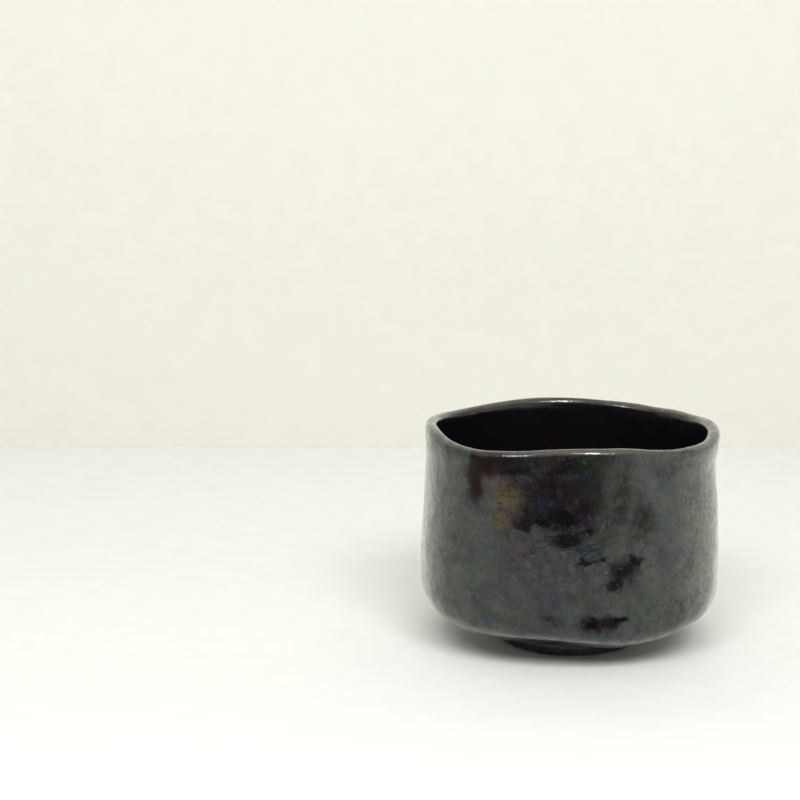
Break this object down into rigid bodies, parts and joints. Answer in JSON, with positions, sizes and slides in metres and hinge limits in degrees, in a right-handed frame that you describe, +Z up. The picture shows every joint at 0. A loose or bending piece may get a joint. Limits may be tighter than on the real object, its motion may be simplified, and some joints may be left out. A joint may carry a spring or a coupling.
{
  "type": "matcha bowl",
  "caption": "Hand-formed half-cylinder tea bowl with a gently waved rounded lip, a low foot ring and a glossy dark glaze.",
  "frame": {"origin": "centre of the bowl's overall box, on the plane of the foot's resting face", "axes": "+Z up out of the mouth, +X to the right and +Y to the back as the bowl is shown from its front"},
  "size_m": [0.121, 0.121, 0.0907],
  "materials": {
    "black_glaze": "gloss",
    "dark_clay": "matte"
  },
  "bodies": {
    "root": {"clay_body": "dark_clay", "foot_ring": "dark_clay", "glaze_coat": "black_glaze"}
  },
  "joints": []
}
